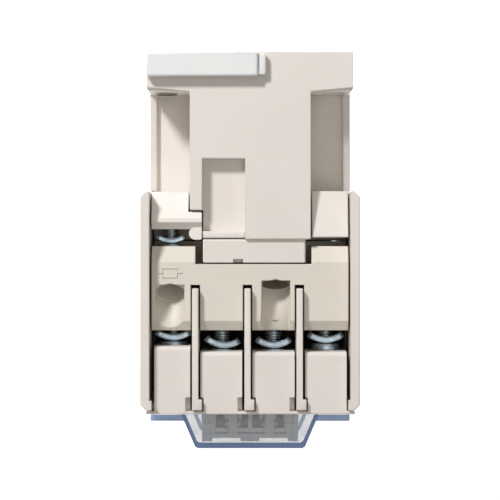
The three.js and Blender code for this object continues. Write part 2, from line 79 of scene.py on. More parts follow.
low, high = (Vector(corner) for corner in cad_box)
near_z = high.z
middle_y = high.y - 0.0409


def make_camera():
    data = bpy.data.cameras.new("camera")
    data.sensor_width = SENSOR
    data.lens = SENSOR * CAMERA_GAP / VIEW_WIDTH
    data.clip_start = 0.01
    camera = bpy.data.objects.new("camera", data)
    camera.location = (0.0, middle_y, near_z + CAMERA_GAP)
    scene.collection.objects.link(camera)
    scene.camera = camera


def area_light(name, place, aim, size, power, tint=(1, 1, 1)):
    data = bpy.data.lights.new(name, "AREA")
    data.shape = "DISK"
    data.size = size
    data.energy = power
    data.color = tint
    lamp = bpy.data.objects.new(name, data)
    lamp.location = place
    lamp.rotation_euler = (Vector(aim) - Vector(place)).to_track_quat("-Z", "Y").to_euler()
    scene.collection.objects.link(lamp)


def make_studio():
    world = bpy.data.worlds.new("studio")
    world.use_nodes = True
    background = world.node_tree.nodes["Background"]
    background.inputs["Color"].default_value = (1.0, 0.95, 0.89, 1)
    background.inputs["Strength"].default_value = 0.32
    scene.world = world
    scene.view_settings.view_transform = "Standard"
    aim = (0, middle_y, near_z - 0.02)
    area_light("key", (-0.30, middle_y + 0.44, near_z + 0.45), aim, 0.12, 4.0, (0.99, 0.99, 0.99))
    area_light("fill", (0.1, middle_y - 0.1, near_z + 0.6), aim, 0.5, 0.5)


def shader(name, color, roughness, metallic=0.0, **sockets):
    made = bpy.data.materials.new(name)
    made.use_nodes = True
    surface = made.node_tree.nodes["Principled BSDF"]
    surface.inputs["Base Color"].default_value = (*color, 1)
    surface.inputs["Roughness"].default_value = roughness
    surface.inputs["Metallic"].default_value = metallic
    for socket, value in sockets.items():
        surface.inputs[socket.replace("_", " ")].default_value = value
    return made


def make_floor():
    size = 2.5
    bm = bmesh.new()
    bmesh.ops.create_grid(bm, x_segments=1, y_segments=1, size=size)
    mesh = bpy.data.meshes.new("floor")
    bm.to_mesh(mesh)
    bm.free()
    floor = bpy.data.objects.new("floor", mesh)
    floor.location = (0, 0, low.z - 0.0002)
    scene.collection.objects.link(floor)
    paper = shader("floor_paper", (0.93, 0.93, 0.93), 0.9)
    surface = paper.node_tree.nodes["Principled BSDF"]
    surface.inputs["Emission Color"].default_value = (1, 1, 1, 1)
    surface.inputs["Emission Strength"].default_value = 0.7
    mesh.materials.append(paper)


make_camera()
make_studio()
make_floor()


# ---- Materials ----

def srgb(red, green, blue):
    def linear(value):
        value /= 255
        return value / 12.92 if value <= 0.04045 else ((value + 0.055) / 1.055) ** 2.4
    return tuple(linear(value) for value in (red, green, blue))


class Graph:
    """Short calls for building one material's nodes."""

    def __init__(self, made):
        self.tree = made.node_tree
        self.surface = self.tree.nodes["Principled BSDF"]
        self.position = self.tree.nodes.new("ShaderNodeTexCoord").outputs["Object"]

    def node(self, kind, **values):
        made = self.tree.nodes.new("ShaderNode" + kind)
        for key, value in values.items():
            socket = made.inputs.get(key.replace("_", " "))
            if socket is not None:
                if isinstance(value, bpy.types.NodeSocket):
                    self.tree.links.new(value, socket)
                else:
                    socket.default_value = value
            else:
                setattr(made, key, value)
        return made

    def noise(self, scale, detail=3.0, roughness=0.55, vector=None):
        vector = vector or self.position
        made = self.node("TexNoise", Scale=scale, Detail=detail, Roughness=roughness, Vector=vector)
        return made.outputs["Fac"]

    def stretch(self, scale):
        made = self.node("Mapping", Vector=self.position)
        made.inputs["Scale"].default_value = scale
        return made.outputs["Vector"]

    def remap(self, value, low, high, to_low, to_high):
        made = self.node("MapRange", Value=value)
        for key, number in zip(("From Min", "From Max", "To Min", "To Max"),
                               (low, high, to_low, to_high)):
            made.inputs[key].default_value = number
        return made.outputs["Result"]

    def mix(self, factor, first, second, blend="MIX"):
        made = self.node("Mix", data_type="RGBA", blend_type=blend)
        for socket, value in zip((made.inputs[0], made.inputs[6], made.inputs[7]),
                                 (factor, first, second)):
            if isinstance(value, bpy.types.NodeSocket):
                self.tree.links.new(value, socket)
            elif isinstance(value, (int, float)):
                socket.default_value = value
            else:
                socket.default_value = (*value, 1)
        return made.outputs[2]

    def connect(self, value, socket):
        self.tree.links.new(value, self.surface.inputs[socket])

    def bumps(self, heights, edge=0.0):
        """Stacks (height, strength, distance) bumps; edge rounds the shading of sharp edges."""
        normal = None
        if edge:
            normal = self.node("Bevel", samples=4, Radius=edge).outputs["Normal"]
        for height, strength, distance in heights:
            made = self.node("Bump", Strength=strength, Distance=distance, Height=height)
            if normal is not None:
                self.tree.links.new(normal, made.inputs["Normal"])
            normal = made.outputs["Normal"]
        self.connect(normal, "Normal")


def plastic(name, color, roughness=0.5, grain=1.0, edge=0.25 * MM):
    """Moulded plastic: faint clouding, flow marks, a fine spark-eroded grain and rounded edges."""
    made = shader(name, color, roughness, **{"Specular_IOR_Level": 0.42})
    graph = Graph(made)
    clouds = graph.noise(90, 4)
    flow = graph.noise(1, 3, vector=graph.stretch((60, 260, 60)))
    dark = tuple(value * 0.93 for value in color)
    warm = (color[0] * 1.02, color[1] * 0.985, color[2] * 0.95)
    tone = graph.mix(graph.remap(clouds, 0.35, 0.7, 0, 0.6), color, dark)
    tone = graph.mix(graph.remap(flow, 0.45, 0.75, 0, 0.5), tone, warm)
    graph.connect(tone, "Base Color")
    fine = graph.noise(2600, 2)
    coarse = graph.noise(700, 3)
    graph.connect(graph.remap(coarse, 0.3, 0.7, roughness - 0.06, roughness + 0.08), "Roughness")
    graph.bumps([(coarse, 0.22 * grain, 0.05 * MM), (fine, 0.3 * grain, 0.02 * MM)], edge)
    return made


def plated(name, color, roughness=0.28, streak=(400, 400, 400), edge=0.08 * MM):
    """Plated or drawn metal: patchy brightness, fine scratches and a slight orange peel."""
    made = shader(name, color, roughness, 1.0)
    graph = Graph(made)
    patches = graph.noise(420, 4, 0.6)
    lines = graph.noise(1, 3, vector=graph.stretch(streak))
    dull = tuple(value * 0.62 for value in color)
    tone = graph.mix(graph.remap(patches, 0.35, 0.7, 0, 0.75), color, dull)
    graph.connect(tone, "Base Color")
    graph.connect(graph.remap(lines, 0.25, 0.75, roughness - 0.1, roughness + 0.18), "Roughness")
    peel = graph.noise(1500, 3)
    graph.bumps([(peel, 0.35, 0.03 * MM), (lines, 0.3, 0.02 * MM)], edge)
    return made


def laminated(name, color):
    """A stack of thin steel sheets along Z, with dark oxide lines between them."""
    made = shader(name, color, 0.42, 1.0)
    graph = Graph(made)
    sheets = graph.node("TexWave", Vector=graph.position, Scale=320.0, Distortion=0.0,
                        bands_direction="Z").outputs["Fac"]
    scuffs = graph.noise(500, 4)
    lines = graph.remap(sheets, 0.0, 0.25, 1.0, 0.0)
    tone = graph.mix(lines, color, tuple(value * 0.25 for value in color))
    tone = graph.mix(graph.remap(scuffs, 0.5, 0.75, 0, 0.5), tone, srgb(96, 88, 82))
    graph.connect(tone, "Base Color")
    graph.connect(graph.remap(scuffs, 0.3, 0.7, 0.32, 0.55), "Roughness")
    graph.bumps([(sheets, 0.5, 0.05 * MM), (scuffs, 0.2, 0.02 * MM)], 0.1 * MM)
    return made


def clear_plastic(name, color, weight, roughness):
    made = shader(name, color, roughness, IOR=1.45)
    surface = made.node_tree.nodes["Principled BSDF"]
    surface.inputs["Transmission Weight"].default_value = weight
    graph = Graph(made)
    ripple = graph.noise(160, 2)
    graph.bumps([(ripple, 0.05, 0.1 * MM)])
    return made


CREAM = plastic("cream_abs", srgb(228, 222, 216))
IVORY = plastic("ivory_pa", srgb(222, 216, 205))
# Painted light: a lighter copy of the cream plastic for the coil terminal blocks, standing in for
# light on their sloped faces.
CREAM_PAINTED_LIGHT = plastic("cream_abs_painted_light", srgb(236, 232, 226), 0.45)
NYLON = plastic("white_nylon", srgb(233, 236, 236), 0.38, 0.4)
NYLON.node_tree.nodes["Principled BSDF"].inputs["Subsurface Weight"].default_value = 0.15
NYLON.node_tree.nodes["Principled BSDF"].inputs["Subsurface Radius"].default_value = (
    0.002, 0.002, 0.002)
GREY = plastic("grey_polyamide", srgb(150, 150, 148), 0.5)
PALE_GREY = plastic("pale_grey_polyamide", srgb(204, 203, 198), 0.5)
# Painted shade: a dark grey for the plate behind the guides, standing in for the shade inside the
# dust cover.
SLATE_PAINTED_SHADE = plastic("slate_painted_shade", srgb(98, 96, 97), 0.55)
DARK = plastic("dark_polyamide", srgb(52, 50, 48), 0.5)
# Painted shade: a dark charcoal for the inner chamber walls of the cream housing, standing in for the
# shade deep inside it.
CHAMBER_PAINTED_SHADE = plastic("chamber_painted_shade", srgb(62, 58, 55), 0.6)
# Painted shade: a darker brown for the deep bore's walls, which are the same ivory plastic as the
# plate.
BORE = plastic("bore_painted_shade", srgb(128, 116, 101), 0.6)
RUBBER = plastic("black_rubber", srgb(34, 34, 36), 0.85)
ZINC = plated("bright_zinc", srgb(196, 216, 230), 0.24)
KNURLED = plated("knurled_zinc", srgb(206, 226, 240), 0.3, (900, 900, 900))
SPRING = plated("spring_wire", srgb(176, 178, 182), 0.3, (300, 300, 2400))
BRASS = plated("stamped_brass", srgb(206, 172, 110), 0.33, (200, 200, 1400))
SILVER = plated("silver_tip", srgb(224, 222, 216), 0.3)
COPPER = plated("shading_copper", srgb(196, 120, 82), 0.3)
ENAMEL = plated("enamelled_wire", srgb(158, 74, 36), 0.22)
STEEL = laminated("core_sheets", srgb(150, 154, 158))
CLEAR = clear_plastic("clear_cover", (0.72, 0.80, 0.92), 0.0, 0.05)
CLEAR.node_tree.nodes["Principled BSDF"].inputs["Alpha"].default_value = 0.2
BLUE_EDGE = clear_plastic("clear_cover_edge", srgb(74, 102, 158), 0.25, 0.2)
PALE_EDGE = clear_plastic("clear_brim_edge", srgb(118, 146, 190), 0.25, 0.2)


# ---- Mesh tools ----

BODY_OF = {node: body for body, nodes in frame["record"]["behaviour"]["bodies"].items()
           for node in nodes}


FLAT_WIDTH = 0.95 * MM


def node_box(node):
    low_corner, high_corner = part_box(node)
    return Vector(low_corner), Vector(high_corner)


def smooth_all(bm):
    for face in bm.faces:
        face.smooth = True


def smooth_curves(bm):
    """Keeps wide faces flat, and smooths rounded edges and the facets of cylinders."""
    for face in bm.faces:
        longest = max(edge.calc_length() for edge in face.edges)
        face.smooth = face.calc_area() < FLAT_WIDTH * longest


def add_piece(name, bm, material, node, replaced=(), angle=35, smoothed=smooth_all):
    """Makes a piece that rides with the CAD node's body."""
    if smoothed:
        smoothed(bm)
    mesh = bpy.data.meshes.new(name)
    bm.to_mesh(mesh)
    bm.free()
    mesh.materials.append(material)
    smooth = [polygon.use_smooth for polygon in mesh.polygons]
    mesh.set_sharp_from_angle(angle=math.radians(angle))
    mesh.polygons.foreach_set("use_smooth", smooth)
    piece = bpy.data.objects.new(name, mesh)
    scene.collection.objects.link(piece)
    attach(piece, BODY_OF[node])
    if replaced:
        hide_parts(*replaced)
    return piece


def repaint(piece, material, chosen):
    """Gives the faces for which chosen(centre, normal) is true a second material."""
    piece.data.materials.append(material)
    index = len(piece.data.materials) - 1
    for polygon in piece.data.polygons:
        if chosen(polygon.center, polygon.normal):
            polygon.material_index = index


def clean_copy(node):
    """The node's mesh with its flat faces made whole again."""
    bm = bmesh.new()
    bm.from_mesh(frame["nodes"][node].data)
    bmesh.ops.remove_doubles(bm, verts=bm.verts, dist=2e-6)
    bmesh.ops.dissolve_limit(bm, angle_limit=math.radians(0.8), verts=bm.verts, edges=bm.edges,
                             delimit={"NORMAL"})
    return bm


def edge_angle(edge):
    return edge.calc_face_angle(0.0) if len(edge.link_faces) == 2 else 0.0


def roomy_edges(bm, room, sharp, test=None):
    picked = []
    for edge in bm.edges:
        if edge_angle(edge) < sharp or edge.calc_length() < room:
            continue
        if test is not None and not all(test(vert.co) for vert in edge.verts):
            continue
        near = [other for vert in edge.verts for other in vert.link_edges if other is not edge]
        if min(other.calc_length() for other in near) >= room:
            picked.append(edge)
    return picked


def soften(bm, width, test=None, segments=2, sharp=math.radians(32)):
    """Rounds every sharp edge that has room for it, or only those whose ends pass the test."""
    picked = roomy_edges(bm, 2.6 * width if test is None else 1.1 * width, sharp, test)
    bmesh.ops.bevel(bm, geom=picked, offset=width, segments=segments, profile=0.6,
                    affect="EDGES", clamp_overlap=False)


def carve(bm, cutters, overlapping=False):
    """Takes closed cutter meshes, which may overlap each other, out of a mesh."""
    def temporary(part):
        mesh = bpy.data.meshes.new("temporary")
        part.to_mesh(mesh)
        part.free()
        held = bpy.data.objects.new("temporary", mesh)
        scene.collection.objects.link(held)
        return held

    body, tool = temporary(bm), temporary(merged(cutters))
    cut = body.modifiers.new("cut", "BOOLEAN")
    cut.object = tool
    cut.solver = "EXACT"
    cut.use_self = overlapping
    bpy.context.view_layer.update()
    result = bmesh.new()
    result.from_object(body, bpy.context.evaluated_depsgraph_get())
    for held in (body, tool):
        mesh = held.data
        bpy.data.objects.remove(held)
        bpy.data.meshes.remove(mesh)
    return result


def merged(parts):
    whole = bmesh.new()
    for part in parts:
        mesh = bpy.data.meshes.new("temporary")
        part.to_mesh(mesh)
        part.free()
        whole.from_mesh(mesh)
        bpy.data.meshes.remove(mesh)
    return whole


def box_part(x, y, z, rounding=0.0):
    bm = bmesh.new()
    bmesh.ops.create_cube(bm, size=1)
    for vert in bm.verts:
        for axis, (start, end) in enumerate((x, y, z)):
            vert.co[axis] = (start + end) / 2 + vert.co[axis] * (end - start)
    if rounding:
        bmesh.ops.bevel(bm, geom=list(bm.edges), offset=rounding, segments=2, profile=0.6,
                        affect="EDGES")
    return bm


def skin(rings, loop=False):
    """A mesh through rings of points. The ends are closed unless the rings run in a loop."""
    bm = bmesh.new()
    verts = [[bm.verts.new(point) for point in ring] for ring in rings]
    count = len(verts[0])
    for start, end in zip(verts, verts[1:] + verts[:1] if loop else verts[1:]):
        for side in range(count):
            after = (side + 1) % count
            bm.faces.new((start[side], start[after], end[after], end[side]))
    if not loop:
        bm.faces.new(verts[0][::-1])
        bm.faces.new(verts[-1])
    bmesh.ops.recalc_face_normals(bm, faces=bm.faces)
    return bm


def wire(path, radius, sides=10, loop=False):
    """A round wire along a list of points."""
    path = [Vector(point) for point in path]
    count = len(path)
    rings = []
    side = None
    for index, point in enumerate(path):
        before = path[index - 1] if index or loop else point
        after = path[(index + 1) % count] if index < count - 1 or loop else point
        along = (after - before).normalized()
        if side is None:
            side = along.orthogonal()
        side = (side - along * side.dot(along)).normalized()
        across = along.cross(side)
        turns = (2 * math.pi * step / sides for step in range(sides))
        rings.append([point + radius * (side * math.cos(turn) + across * math.sin(turn))
                      for turn in turns])
    return skin(rings, loop)


def lathe(profile, centre, sides=28):
    """Turns (radius, y) points about a line along Y through centre, an (x, z) pair."""
    x, z = centre
    turns = [2 * math.pi * step / sides for step in range(sides)]
    return skin([[(x + radius * math.cos(turn), y, z + radius * math.sin(turn)) for turn in turns]
                 for radius, y in profile])


# ---- Moulded shells ----

def refine(node, material, width, rounded=(), cutters=(), where=None):
    """A finished shell in the shape of its CAD node, with moulded edges and shallow details."""
    bm = clean_copy(node)
    for test, wide in rounded:
        soften(bm, wide, test, 4)
    soften(bm, width, where)
    smooth_curves(bm)
    bmesh.ops.triangulate(bm, faces=[face for face in bm.faces if len(face.verts) > 4])
    if cutters:
        bm = carve(bm, cutters, True)
    return add_piece(node + "_shell", bm, material, node, [node], smoothed=None)


def near_end(distance, level):
    """A test for points at a distance from the middle whose place along Y passes a level test."""
    def test(point):
        return abs(abs(point.z) - distance) < 0.05 * MM and level(point.y)
    return test


def both_ends(x, y, z):
    return [box_part(x, y, span) for span in (z, (-z[1], -z[0]))]


PANEL_DEPTH, PANEL_HALF_Y, PANEL_HALF_Z = 0.25 * MM, 15 * MM, 24 * MM
KEY_DEPTH, KEY_HALF_Y, KEY_HALF_Z = 0.9 * MM, 1.2 * MM, 3 * MM
KEY_LEVEL, KEY_Z = 12 * MM, 29 * MM
DECK_FACE = -71.5 * MM
FIELD_DEPTH, FIELD_HALF_X, FIELD_Z = 0.25 * MM, 3.3 * MM, (31.3 * MM, 34.3 * MM)


def side_recesses():
    """Keying slots for side-mounted blocks and shallow panels, in both outer walls."""
    outer = high.x
    wall_low, wall_high = node_box("front_housing")
    middle = (wall_low.y + wall_high.y) / 2
    parts = []
    for side in (-1, 1):
        def depth(amount):
            spans = (side * (outer - amount), side * (outer + MM))
            return (min(spans), max(spans))
        parts.append(box_part(depth(PANEL_DEPTH), (middle - PANEL_HALF_Y, middle + PANEL_HALF_Y),
                              (-PANEL_HALF_Z, PANEL_HALF_Z), 0.12 * MM))
        for end in (-1, 1):
            for level in (-KEY_LEVEL, KEY_LEVEL):
                centre_y, centre_z = middle + level, end * KEY_Z
                parts.append(box_part(depth(KEY_DEPTH),
                                      (centre_y - KEY_HALF_Y, centre_y + KEY_HALF_Y),
                                      (centre_z - KEY_HALF_Z, centre_z + KEY_HALF_Z)))
    return parts


def deck_recesses():
    """A blank marking field beyond each driver hole."""
    parts = []
    for pole in range(1, 5):
        screw_low, screw_high = node_box(f"terminal_screw_load_{pole}")
        x = (screw_low.x + screw_high.x) / 2
        field = (x - FIELD_HALF_X, x + FIELD_HALF_X)
        parts += both_ends(field, (DECK_FACE - MM, DECK_FACE + FIELD_DEPTH), FIELD_Z)
    return parts


TROUGHS = ((-16.5 * MM, -46.5 * MM, 0.64), (5.3 * MM, -44.9 * MM, 0.34))  # x, y and lean
BORE_RADIUS, BORE_START, BORE_END = 2.92 * MM, -11.2 * MM, 0.5 * MM
CHANNEL_RADIUS, CHANNEL_LENGTH = 3.1 * MM, 14 * MM
MOUTH_DROP, MOUTH_RISE = 3 * MM, 0.1 * MM
TROUGH_SIDES = 56


def trough_cutters():
    """Round driver troughs, each with a bore that goes on behind it, cut clean and smooth."""
    plate_end = node_box("middle_housing")[1].z
    parts = []
    for x, y, lean in TROUGHS:
        along = Vector((0, -math.cos(lean), math.sin(lean)))
        across = Vector((0, math.sin(lean), math.cos(lean)))
        start = Vector((x, y, plate_end - (MOUTH_DROP * math.cos(lean) - MOUTH_RISE)))
        for radius, near, far in ((BORE_RADIUS, BORE_START, BORE_END),
                                  (CHANNEL_RADIUS, 0.0, CHANNEL_LENGTH)):
            rings = []
            for distance in (near, far):
                turns = (2 * math.pi * step / TROUGH_SIDES for step in range(TROUGH_SIDES))
                rings.append([start + along * distance + Vector((radius * math.cos(turn), 0, 0))
                              + across * (radius * math.sin(turn)) for turn in turns])
            part = skin(rings)
            smooth_all(part)
            parts.append(part)
    return parts


EAR_CORNER_Y = (-5.1 * MM, -4.9 * MM)
PANEL_TOPS_Y = -60 * MM
CHAMBER_HALF_X, CHAMBER_HALF_Z, CHAMBER_FRONT = 20.4 * MM, 16.3 * MM, -70.3 * MM
PLATE_EDGES_Z = 31.6 * MM
BORE_ZONE_Y, BORE_ZONE_Z, BORE_ZONE_HALF_X = (-44.4 * MM, -33 * MM), 28 * MM, 3.2 * MM


def in_chamber(centre, normal):
    return (abs(centre.z) < CHAMBER_HALF_Z and abs(centre.x) < CHAMBER_HALF_X
            and centre.y > CHAMBER_FRONT)


def in_deep_bore(centre, normal):
    """The walls of the second trough's bore, without the plate's face round its mouth; they are
    painted a darker tone as shade.
    """
    return (abs(centre.x - TROUGHS[1][0]) < BORE_ZONE_HALF_X and centre.z > BORE_ZONE_Z
            and BORE_ZONE_Y[0] < centre.y < BORE_ZONE_Y[1] and normal.z < 0.97)


def make_shells():
    ear_edge = near_end(node_box("base")[1].z, lambda y: EAR_CORNER_Y[0] < y < EAR_CORNER_Y[1])
    refine("base", CREAM, 0.28 * MM, [(ear_edge, 0.8 * MM)])
    panel_top = near_end(node_box("front_cover")[1].z, lambda y: y > PANEL_TOPS_Y)
    refine("front_cover", CREAM, 0.2 * MM, [(panel_top, 0.9 * MM)], deck_recesses())
    housing = refine("front_housing", CREAM, 0.22 * MM, (), side_recesses())
    # The inner chamber walls get a dark tone as painted shade.
    repaint(housing, CHAMBER_PAINTED_SHADE, in_chamber)
    plate = refine("middle_housing", IVORY, 0.15 * MM, (), trough_cutters(),
                   lambda point: point.z > PLATE_EDGES_Z)
    # The deep bore's walls get the darker tone as painted shade.
    repaint(plate, BORE, in_deep_bore)
    # The coil terminal blocks take the lighter cream as painted light.
    refine("coil_terminal_block_load", CREAM_PAINTED_LIGHT, 0.4 * MM)
    refine("coil_terminal_block_line", CREAM_PAINTED_LIGHT, 0.4 * MM)
    refine("din_clip", NYLON, 0.4 * MM)
    refine("contact_carrier", GREY, 0.2 * MM)
    refine("coil_bobbin", DARK, 0.25 * MM)


# ---- Coil mark ----

def make_coil_mark():
    """A raised coil symbol over the left trough: a box with a lead at each end."""
    screw_low, screw_high = node_box("coil_screw_load_left")
    x = (screw_low.x + screw_high.x) / 2
    face = node_box("middle_housing")[1].z
    y = screw_low.y - 3.7 * MM
    line = 0.17 * MM
    half_x, half_y, lead = 1.5 * MM, 0.95 * MM, 1.1 * MM
    corners = [(x - half_x, y - half_y, face), (x + half_x, y - half_y, face),
               (x + half_x, y + half_y, face), (x - half_x, y + half_y, face)]
    strokes = [wire(corners, line, 8, loop=True)]
    for side in (-1, 1):
        inner, outer = x + side * half_x, x + side * (half_x + lead)
        strokes.append(wire([(inner, y, face), (outer, y, face)], line, 8))
    add_piece("coil_mark", merged(strokes), IVORY, "middle_housing")


# ---- Clamp screws ----

HEAD_HEIGHT = 2.2 * MM
HEAD_SHAPE = ((0.5, 0.0), (0.8, 0.02), (0.91, 0.08), (0.975, 0.2), (1.0, 0.38), (1.0, 0.86),
              (0.96, 1.0))  # shares of the radius and of the height
SEAT_GAP = 0.2 * MM  # between a screw's head and its washer
SCREW_SIDES = 26
THREAD_DEPTH = 0.3  # of the pitch
ROWS_PER_PITCH = 8
TIP_LENGTH, TIP_SHARE = 0.7 * MM, 0.55
RECESS_DEPTH, RECESS_TAPER = 1.1 * MM, 0.8
RECESS_BARS = ((0.62, 0.13), (0.13, 0.62), (0.86, 0.1))  # half lengths, as shares of the radius


def head_profile(radius):
    """A low domed head as (radius, y) points, from its face to its underside."""
    return [(radius * share, HEAD_HEIGHT * depth) for share, depth in HEAD_SHAPE]


def threaded_rings(radius, start, end, pitch):
    """Rings of a shank whose thread runs round as a helix, and tapers at its tip."""
    depth = THREAD_DEPTH * pitch
    rows = round((end - start) / pitch * ROWS_PER_PITCH)
    rings = []
    for row in range(rows + 1):
        y = start + (end - start) * row / rows
        taper = min(1.0, (end - y) / TIP_LENGTH + TIP_SHARE)
        ring = []
        for side in range(SCREW_SIDES):
            turn = side / SCREW_SIDES
            phase = ((y - start) / pitch - turn) % 1.0
            crest = 1 - abs(2 * phase - 1)
            reach = (radius - depth * (1 - min(1.0, 1.5 * crest))) * taper
            angle = 2 * math.pi * turn
            ring.append((reach * math.cos(angle), y, reach * math.sin(angle)))
        rings.append(ring)
    return rings


def drive_recess(radius):
    """A cross recess with a straight slot through it."""
    parts = []
    for half_x, half_z in RECESS_BARS:
        bm = box_part((-half_x * radius, half_x * radius), (-MM, RECESS_DEPTH),
                      (-half_z * radius, half_z * radius))
        for vert in bm.verts:
            if vert.co.y > 0:
                vert.co.x *= RECESS_TAPER
                vert.co.z *= RECESS_TAPER
        parts.append(bm)
    return parts


def screw_part(radius, length, shank_radius, pitch):
    """A clamp screw about the Y axis, its head's face at y = 0."""
    turns = [2 * math.pi * side / SCREW_SIDES for side in range(SCREW_SIDES)]
    head = [[(reach * math.cos(turn), y, reach * math.sin(turn)) for turn in turns]
            for reach, y in head_profile(radius)]
    shank = threaded_rings(shank_radius, HEAD_HEIGHT, length, pitch)
    bm = skin(head + shank)
    for part in drive_recess(radius):
        bm = carve(bm, [part])
    return bm


# ---- Saddle washers ----

RIDGE, RIDGE_PITCH = 0.1 * MM, 0.62 * MM
WASHER_CORNER, WASHER_EDGE, WASHER_STEPS = 0.9 * MM, 0.12 * MM, 56
WASHER_SECTION = (
    (-1, 0.28), (-0.975, 0.08), (-0.9, 0.0), (0.9, 0.0), (0.975, 0.08), (1, 0.28), (1, 0.75),
    (0.975, 0.93), (0.9, 1.0), (0.45, 1.0), (0, 1.0), (-0.45, 1.0), (-0.9, 1.0), (-0.975, 0.93),
    (-1, 0.75))  # shares of the half depth and of the thickness
TILTED = {"clamp_washer_load_2": math.radians(-5)}


def washer_part(half_depth, half_width, bend, thick, hole):
    """A bowed square washer, ridged on the side that grips the wire, its foot at y = 0."""
    spread = math.asin(half_width / bend)
    rings = []
    for step in range(WASHER_STEPS + 1):
        turn = spread * (2 * step / WASHER_STEPS - 1)
        to_end = bend * (spread - abs(turn))
        inset = max(0.0, 1 - to_end / WASHER_CORNER)
        rounding = 1 - math.sqrt(max(0.0, 1 - inset * inset))
        depth = half_depth - WASHER_CORNER * rounding
        wave = 2 * abs((bend * turn / RIDGE_PITCH) % 1.0 - 0.5) - 0.5
        ridge = RIDGE * wave * (inset < 0.6)
        ring = []
        for across, up in WASHER_SECTION:
            height = thick * up + (ridge if up > 0.9 else 0.0)
            reach = bend - height
            ring.append((reach * math.sin(turn), bend - reach * math.cos(turn), across * depth))
        rings.append(ring)
    bm = skin(rings)
    bmesh.ops.bevel(bm, geom=[edge for edge in bm.edges if len(edge.link_faces) == 2
                              and max(len(face.verts) for face in edge.link_faces) > 4],
                    offset=WASHER_EDGE, segments=2, affect="EDGES")
    return carve(bm, [lathe([(hole, -2 * MM), (hole, 5 * MM)], (0, 0), 32)])


def fit(part, name, material, node, place, tilt=0.0):
    """Adds a copy of a part at a place, in the stead of its CAD node."""
    bm = part.copy()
    turn = Matrix.Translation(place) @ Matrix.Rotation(tilt, 4, "Z")
    bmesh.ops.transform(bm, matrix=turn, verts=bm.verts)
    add_piece(name, bm, material, node, [node], 28)


def make_clamps(screw_prefix, washer_prefix, shank_radius, pitch, washer_sizes):
    """Every screw of one kind and its washer, from one template each."""
    screw = washer = None
    for node in sorted(frame["nodes"]):
        if not node.startswith(screw_prefix):
            continue
        start, end = node_box(node)
        ring = node.replace(screw_prefix, washer_prefix)
        if screw is None:
            ring_start, ring_end = node_box(ring)
            screw = screw_part((end.x - start.x) / 2, end.y - start.y, shank_radius, pitch)
            washer = washer_part((ring_end.z - ring_start.z) / 2, *washer_sizes)
        x, z = (start.x + end.x) / 2, (start.z + end.z) / 2
        fit(screw, node + "_turned", ZINC, node, (x, start.y, z))
        fit(washer, ring + "_pressed", KNURLED, ring,
            (x, start.y + HEAD_HEIGHT + SEAT_GAP, z), TILTED.get(ring, 0.0))
    screw.free()
    washer.free()


def make_fasteners():
    """Washer sizes are the half width, the bend's radius, the thickness and the hole's radius."""
    make_clamps("terminal_screw", "clamp_washer", 1.75 * MM, 0.6 * MM,
                (3.95 * MM, 6.4 * MM, 1.4 * MM, 2.1 * MM))
    make_clamps("coil_screw", "coil_washer", 1.5 * MM, 0.5 * MM,
                (3.3 * MM, 5.4 * MM, 1.1 * MM, 1.85 * MM))


# ---- Springs ----

def make_spring(node, thickness, turns, along_z=False):
    """A compression spring with its end coils wound close."""
    corner_low, corner_high = node_box(node)
    middle = (corner_low + corner_high) / 2
    radius = (corner_high.x - corner_low.x) / 2 - thickness / 2
    start = (corner_low.z if along_z else corner_low.y) + thickness / 2
    end = (corner_high.z if along_z else corner_high.y) - thickness / 2
    steps = 26 * turns
    path = []
    for step in range(steps + 1):
        share = step / steps
        rise = share - math.sin(2 * math.pi * share) / (2 * math.pi) * 0.7
        along = start + (end - start) * rise
        angle = 2 * math.pi * turns * share
        a, b = radius * math.cos(angle), radius * math.sin(angle)
        path.append((middle.x + a, middle.y + b, along) if along_z
                    else (middle.x + a, along, middle.z + b))
    return add_piece(node + "_wound", wire(path, thickness / 2, 10), SPRING, node, [node], 60)


def make_springs():
    spring = make_spring("return_spring", 0.8 * MM, 3)
    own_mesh(spring)
    for pole in range(1, 5):
        node = f"contact_spring_{pole}"
        spring = make_spring(node, 0.5 * MM, 4)
        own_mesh(spring)
    spring = make_spring("din_clip_spring", 0.4 * MM, 7, along_z=True)
    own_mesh(spring)


# ---- Contacts and magnet ----

TIP_DEPTH, PAD_DEPTH = 0.95 * MM, 0.75 * MM  # silver on the fixed and the moving contacts


def make_contacts():
    for node in sorted(frame["nodes"]):
        start, end = node_box(node)
        if node.startswith("fixed_contact_"):
            piece = refine(node, BRASS, 0.12 * MM)
            repaint(piece, SILVER, lambda centre, normal: centre.y < start.y + TIP_DEPTH)
        elif node.startswith("contact_bridge_"):
            piece = refine(node, COPPER, 0.12 * MM)
            repaint(piece, SILVER, lambda centre, normal: centre.y > end.y - PAD_DEPTH)
        elif node.startswith("coil_contact_plate_"):
            refine(node, BRASS, 0.1 * MM)


def rounded_loop(half_x, half_z, radius, y, steps=6):
    path = []
    for quarter, (side_x, side_z) in enumerate(((1, 1), (-1, 1), (-1, -1), (1, -1))):
        for step in range(steps + 1):
            angle = math.pi / 2 * (quarter + step / steps)
            path.append((side_x * (half_x - radius) + radius * math.cos(angle), y,
                         side_z * (half_z - radius) + radius * math.sin(angle)))
    return path


GAUGE = 0.71 * MM
WINDING_CORNER = 3 * MM
TUBE_HALF_X, TUBE_HALF_Z = 6.4 * MM, 8.4 * MM  # clear of the winding's inner wall


